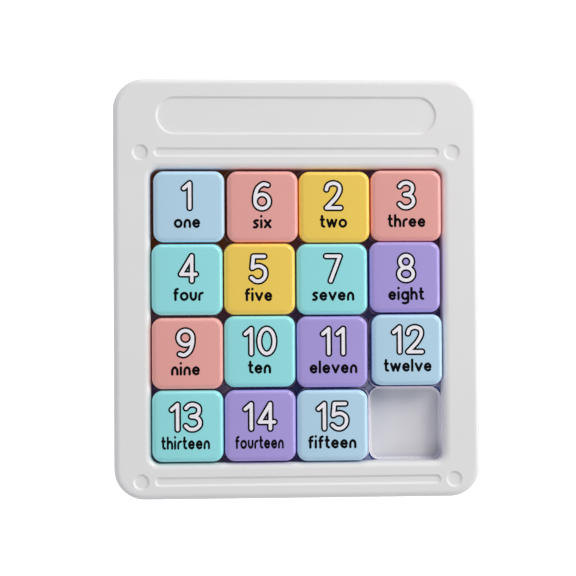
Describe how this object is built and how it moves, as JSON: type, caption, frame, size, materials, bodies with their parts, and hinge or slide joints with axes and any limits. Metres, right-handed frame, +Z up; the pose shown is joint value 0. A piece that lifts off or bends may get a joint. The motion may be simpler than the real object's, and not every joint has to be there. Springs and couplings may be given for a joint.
{
  "type": "sliding tile puzzle",
  "caption": "Magnetic sliding tile puzzle: pastel number tiles in a pale plastic tray with one empty cell and a blank title panel.",
  "frame": {"origin": "under the middle of the tray's outline, on the surface that the rubber feet rest on", "axes": "+X to the right and +Y towards the wide margin as the numbers read, +Z up out of the tray's face"},
  "size_m": [0.125, 0.143, 0.0168],
  "materials": {
    "tray_plastic": "satin, off-white moulded plastic",
    "cover_plastic": "fine matt texture, pale grey",
    "sheet_steel": "rolled sheet",
    "screw_steel": "bright zinc",
    "foot_rubber": "matt",
    "magnet_nickel": "nickel plate",
    "tile_base_plastic": "matt",
    "sky_plastic": "satin, pastel blue",
    "coral_plastic": "satin, pastel coral",
    "yellow_plastic": "satin, pastel yellow",
    "mint_plastic": "satin, pastel mint",
    "violet_plastic": "satin, pastel violet",
    "ink_black": "printed ink, semi-matt",
    "ink_white": "printed ink, semi-matt"
  },
  "bodies": {
    "tray": {"tray_frame": "tray_plastic", "steel_sheet": "sheet_steel", "back_cover": "cover_plastic", "cover_screw_1": "screw_steel", "cover_screw_2": "screw_steel", "cover_screw_3": "screw_steel", "cover_screw_4": "screw_steel", "rubber_foot_1": "foot_rubber", "rubber_foot_2": "foot_rubber", "rubber_foot_3": "foot_rubber", "rubber_foot_4": "foot_rubber"},
    "tile_01": {"tile_01_cap": "sky_plastic", "tile_01_base": "tile_base_plastic", "tile_01_magnet": "magnet_nickel"},
    "tile_02": {"tile_02_cap": "yellow_plastic", "tile_02_base": "tile_base_plastic", "tile_02_magnet": "magnet_nickel"},
    "tile_03": {"tile_03_cap": "coral_plastic", "tile_03_base": "tile_base_plastic", "tile_03_magnet": "magnet_nickel"},
    "tile_04": {"tile_04_cap": "mint_plastic", "tile_04_base": "tile_base_plastic", "tile_04_magnet": "magnet_nickel"},
    "tile_05": {"tile_05_cap": "yellow_plastic", "tile_05_base": "tile_base_plastic", "tile_05_magnet": "magnet_nickel"},
    "tile_06": {"tile_06_cap": "coral_plastic", "tile_06_base": "tile_base_plastic", "tile_06_magnet": "magnet_nickel"},
    "tile_07": {"tile_07_cap": "mint_plastic", "tile_07_base": "tile_base_plastic", "tile_07_magnet": "magnet_nickel"},
    "tile_08": {"tile_08_cap": "violet_plastic", "tile_08_base": "tile_base_plastic", "tile_08_magnet": "magnet_nickel"},
    "tile_09": {"tile_09_cap": "coral_plastic", "tile_09_base": "tile_base_plastic", "tile_09_magnet": "magnet_nickel"},
    "tile_10": {"tile_10_cap": "mint_plastic", "tile_10_base": "tile_base_plastic", "tile_10_magnet": "magnet_nickel"},
    "tile_11": {"tile_11_cap": "violet_plastic", "tile_11_base": "tile_base_plastic", "tile_11_magnet": "magnet_nickel"},
    "tile_12": {"tile_12_cap": "sky_plastic", "tile_12_base": "tile_base_plastic", "tile_12_magnet": "magnet_nickel"},
    "tile_13": {"tile_13_cap": "mint_plastic", "tile_13_base": "tile_base_plastic", "tile_13_magnet": "magnet_nickel"},
    "tile_14": {"tile_14_cap": "violet_plastic", "tile_14_base": "tile_base_plastic", "tile_14_magnet": "magnet_nickel"},
    "tile_15": {"tile_15_cap": "sky_plastic", "tile_15_base": "tile_base_plastic", "tile_15_magnet": "magnet_nickel"}
  },
  "joints": [
    {"name": "bottom_row_slide", "type": "slide", "parent": "tray", "child": "tile_15", "axis": [1, 0, 0], "range_m": [0, 0.0259]},
    {"name": "tile_14_follow", "type": "slide", "parent": "tray", "child": "tile_14", "axis": [1, 0, 0], "range_m": [0, 0.0259]},
    {"name": "tile_13_follow", "type": "slide", "parent": "tray", "child": "tile_13", "axis": [1, 0, 0], "range_m": [0, 0.0259]},
    {"name": "right_column_slide", "type": "slide", "parent": "tray", "child": "tile_12", "axis": [0, 1, 0], "range_m": [-0.0257, 0]},
    {"name": "tile_08_follow", "type": "slide", "parent": "tray", "child": "tile_08", "axis": [0, 1, 0], "range_m": [-0.0257, 0]},
    {"name": "tile_03_follow", "type": "slide", "parent": "tray", "child": "tile_03", "axis": [0, 1, 0], "range_m": [-0.0257, 0]},
    {"name": "tile_01_lift", "type": "slide", "parent": "tray", "child": "tile_01", "axis": [0, 0, 1], "range_m": [0, 0.014]},
    {"name": "tile_02_lift", "type": "slide", "parent": "tray", "child": "tile_02", "axis": [0, 0, 1], "range_m": [0, 0.014]},
    {"name": "tile_04_lift", "type": "slide", "parent": "tray", "child": "tile_04", "axis": [0, 0, 1], "range_m": [0, 0.014]},
    {"name": "tile_05_lift", "type": "slide", "parent": "tray", "child": "tile_05", "axis": [0, 0, 1], "range_m": [0, 0.014]},
    {"name": "tile_06_lift", "type": "slide", "parent": "tray", "child": "tile_06", "axis": [0, 0, 1], "range_m": [0, 0.014]},
    {"name": "tile_07_lift", "type": "slide", "parent": "tray", "child": "tile_07", "axis": [0, 0, 1], "range_m": [0, 0.014]},
    {"name": "tile_09_lift", "type": "slide", "parent": "tray", "child": "tile_09", "axis": [0, 0, 1], "range_m": [0, 0.014]},
    {"name": "tile_10_lift", "type": "slide", "parent": "tray", "child": "tile_10", "axis": [0, 0, 1], "range_m": [0, 0.014]},
    {"name": "tile_11_lift", "type": "slide", "parent": "tray", "child": "tile_11", "axis": [0, 0, 1], "range_m": [0, 0.014]}
  ],
  "couplings": [
    {"joint": "tile_14_follow", "follows": "bottom_row_slide", "ratio": 1},
    {"joint": "tile_13_follow", "follows": "bottom_row_slide", "ratio": 1},
    {"joint": "tile_08_follow", "follows": "right_column_slide", "ratio": 1},
    {"joint": "tile_03_follow", "follows": "right_column_slide", "ratio": 1}
  ]
}
